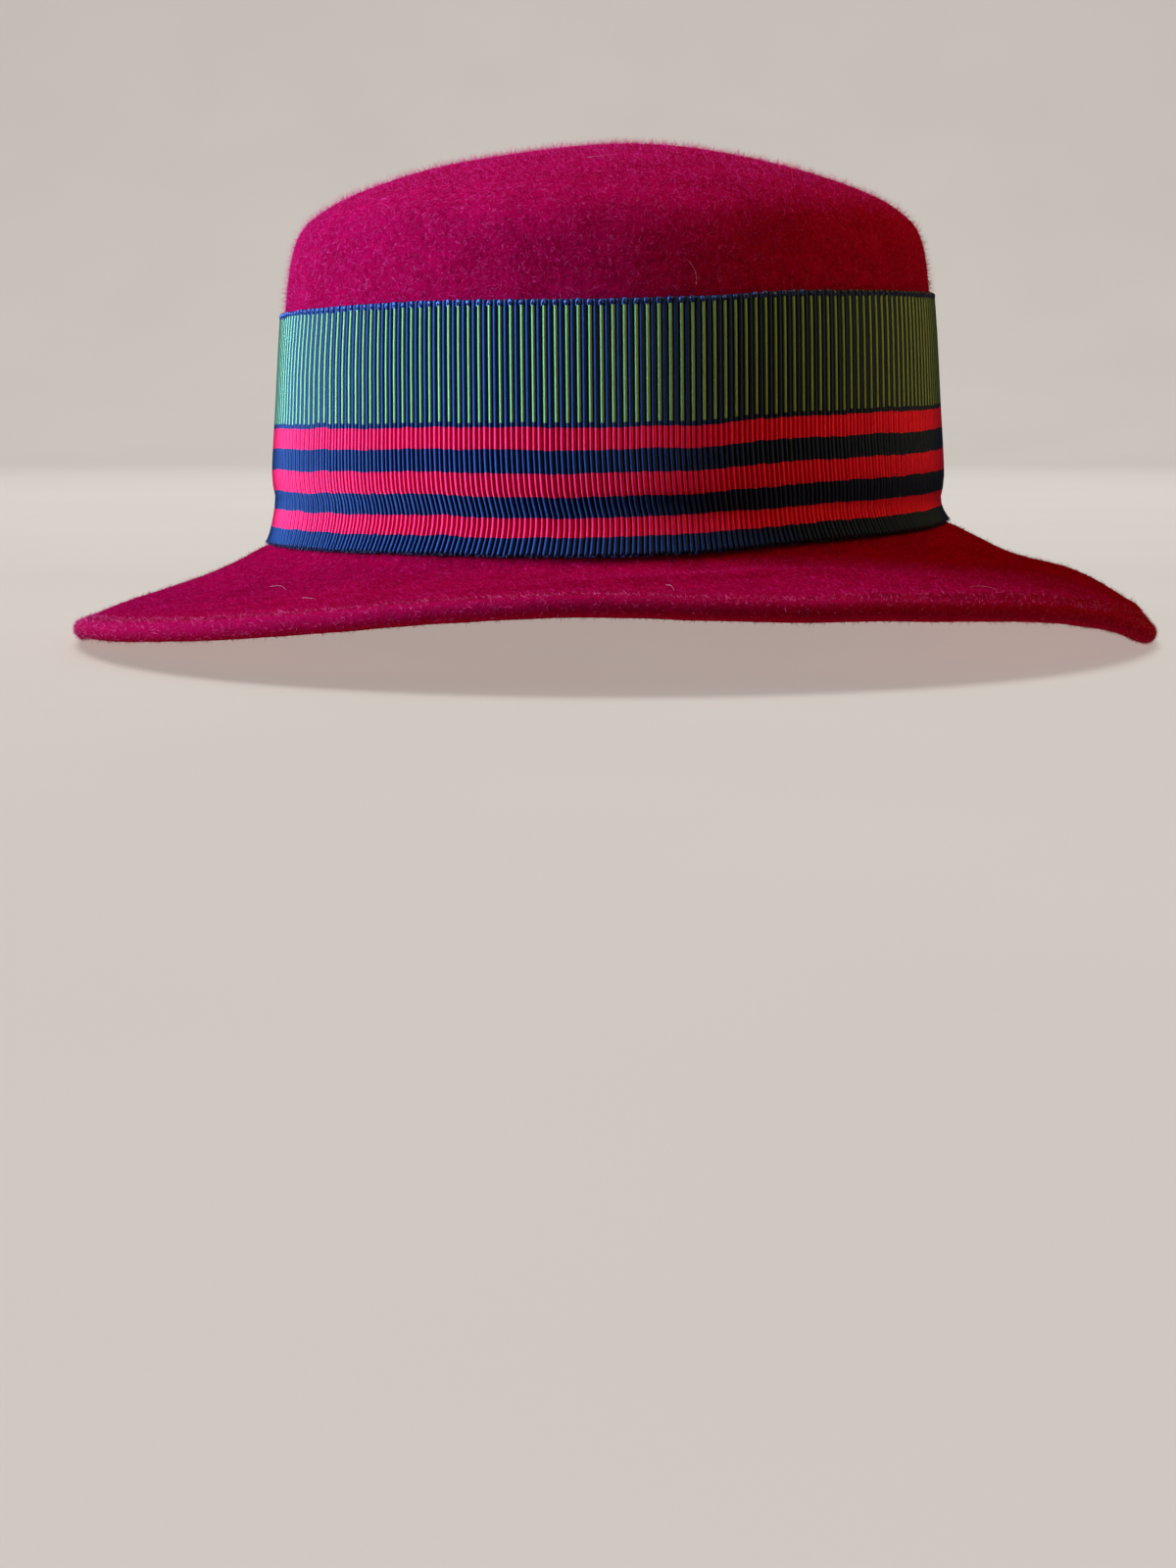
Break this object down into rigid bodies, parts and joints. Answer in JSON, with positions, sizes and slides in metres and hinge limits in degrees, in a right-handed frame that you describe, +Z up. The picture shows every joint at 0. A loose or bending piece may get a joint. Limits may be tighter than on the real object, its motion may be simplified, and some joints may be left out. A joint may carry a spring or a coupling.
{
  "type": "breton hat",
  "caption": "Wool felt hat with a domed crown, a wavy downturned brim and a wide ribbed ribbon with stripes round the crown.",
  "frame": {"origin": "centre of the footprint, on the plane that the brim rests on", "axes": "+Z up, -Y towards the front of the hat, +X towards its right-hand side as seen from the front"},
  "size_m": [0.2816, 0.2994, 0.1276],
  "materials": {
    "felt": "short brushed wool nap, matte",
    "ribbon": "ribbed weave with a soft sheen"
  },
  "bodies": {
    "root": {"felt_body": "felt", "ribbon_band": "ribbon"}
  },
  "joints": []
}
